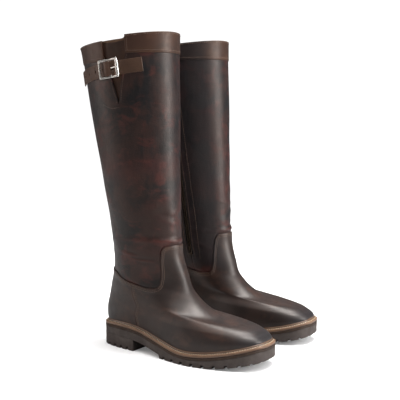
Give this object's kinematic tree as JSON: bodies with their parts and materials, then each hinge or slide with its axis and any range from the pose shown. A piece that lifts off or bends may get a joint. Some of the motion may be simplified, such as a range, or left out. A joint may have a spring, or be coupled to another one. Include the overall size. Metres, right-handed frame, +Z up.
{
  "type": "riding boots",
  "caption": "Pair of tall leather riding boots with a side buckle strap, an inside zip, a stitched welt and a lugged rubber sole.",
  "frame": {"origin": "on the floor, under the middle of the pair's bounding box", "axes": "+X towards the toes, +Y towards the left boot, +Z up"},
  "size_m": [0.3169, 0.2852, 0.468],
  "materials": {
    "outer_leather": "waxed, slightly glossy",
    "collar_leather": "smooth, semi-matt",
    "lining_leather": "matt",
    "stiffener_board": "matt",
    "shank_steel": "plain",
    "cork": "matt",
    "welt_leather": "satin",
    "midsole_rubber": "matt",
    "sole_rubber": "matt",
    "nickel": "satin nickel",
    "zip_tape": "woven",
    "zip_metal": "antique"
  },
  "bodies": {
    "right_boot": {"right_vamp": "outer_leather", "right_counter_cover": "outer_leather", "right_shaft_outer": "outer_leather", "right_shaft_inner": "outer_leather", "right_collar_front": "collar_leather", "right_collar_back": "collar_leather", "right_gusset": "collar_leather", "right_lining": "lining_leather", "right_toe_puff": "stiffener_board", "right_heel_stiffener": "stiffener_board", "right_insole_board": "stiffener_board", "right_footbed": "lining_leather", "right_shank": "shank_steel", "right_cork_filler": "cork", "right_welt": "welt_leather", "right_midsole": "midsole_rubber", "right_outsole": "sole_rubber", "right_heel_block": "sole_rubber", "right_heel_nails": "shank_steel", "right_strap": "collar_leather", "right_chape": "collar_leather", "right_zip_tapes": "zip_tape", "right_zip_chain": "zip_metal", "right_zip_guard": "lining_leather"},
    "right_buckle": {"right_buckle_frame": "nickel"},
    "right_buckle_roller": {"right_buckle_roller": "nickel"},
    "right_buckle_prong": {"right_buckle_prong": "nickel"},
    "right_zip_slider": {"right_zip_slider": "zip_metal"},
    "right_zip_puller": {"right_zip_puller": "zip_metal"},
    "left_boot": {"left_vamp": "outer_leather", "left_counter_cover": "outer_leather", "left_shaft_outer": "outer_leather", "left_shaft_inner": "outer_leather", "left_collar_front": "collar_leather", "left_collar_back": "collar_leather", "left_gusset": "collar_leather", "left_lining": "lining_leather", "left_toe_puff": "stiffener_board", "left_heel_stiffener": "stiffener_board", "left_insole_board": "stiffener_board", "left_footbed": "lining_leather", "left_shank": "shank_steel", "left_cork_filler": "cork", "left_welt": "welt_leather", "left_midsole": "midsole_rubber", "left_outsole": "sole_rubber", "left_heel_block": "sole_rubber", "left_heel_nails": "shank_steel", "left_strap": "collar_leather", "left_chape": "collar_leather", "left_zip_tapes": "zip_tape", "left_zip_chain": "zip_metal", "left_zip_guard": "lining_leather"},
    "left_buckle": {"left_buckle_frame": "nickel"},
    "left_buckle_roller": {"left_buckle_roller": "nickel"},
    "left_buckle_prong": {"left_buckle_prong": "nickel"},
    "left_zip_slider": {"left_zip_slider": "zip_metal"},
    "left_zip_puller": {"left_zip_puller": "zip_metal"}
  },
  "joints": [
    {"name": "left_boot_set_apart", "type": "slide", "parent": "right_boot", "child": "left_boot", "axis": [0, 1, 0], "range_m": [0, 0.2]},
    {"name": "right_buckle_tilt", "type": "hinge", "parent": "right_boot", "child": "right_buckle", "pos_m": [-0.06885, -0.13629, 0.41511], "axis": [-0.1391, -0.0039, 0.9903], "range_deg": [-2, 1.5]},
    {"name": "right_prong_swing", "type": "hinge", "parent": "right_buckle", "child": "right_buckle_prong", "pos_m": [-0.06885, -0.13629, 0.41511], "axis": [0.1391, 0.0039, -0.9903], "range_deg": [0, 8]},
    {"name": "right_roller_spin", "type": "hinge", "parent": "right_buckle", "child": "right_buckle_roller", "pos_m": [-0.05574, -0.13732, 0.41695], "axis": [-0.1391, -0.0039, 0.9903], "continuous": true},
    {"name": "right_zip_run", "type": "slide", "parent": "right_boot", "child": "right_zip_slider", "axis": [-0.1014, 0.0789, 0.9917], "range_m": [-0.288, 0]},
    {"name": "right_puller_swing", "type": "hinge", "parent": "right_zip_slider", "child": "right_zip_puller", "pos_m": [-0.07365, -0.01202, 0.44304], "axis": [0.993, -0.052, 0.1057], "range_deg": [0, 150]},
    {"name": "left_buckle_tilt", "type": "hinge", "parent": "left_boot", "child": "left_buckle", "pos_m": [-0.06885, 0.13629, 0.41511], "axis": [0.1391, -0.0039, -0.9903], "range_deg": [-2, 1.5]},
    {"name": "left_prong_swing", "type": "hinge", "parent": "left_buckle", "child": "left_buckle_prong", "pos_m": [-0.06885, 0.13629, 0.41511], "axis": [-0.1391, 0.0039, 0.9903], "range_deg": [0, 8]},
    {"name": "left_roller_spin", "type": "hinge", "parent": "left_buckle", "child": "left_buckle_roller", "pos_m": [-0.05574, 0.13732, 0.41695], "axis": [0.1391, -0.0039, -0.9903], "continuous": true},
    {"name": "left_zip_run", "type": "slide", "parent": "left_boot", "child": "left_zip_slider", "axis": [-0.1014, -0.0789, 0.9917], "range_m": [-0.288, 0]},
    {"name": "left_puller_swing", "type": "hinge", "parent": "left_zip_slider", "child": "left_zip_puller", "pos_m": [-0.07365, 0.01202, 0.44304], "axis": [-0.993, -0.052, -0.1057], "range_deg": [0, 150]}
  ]
}
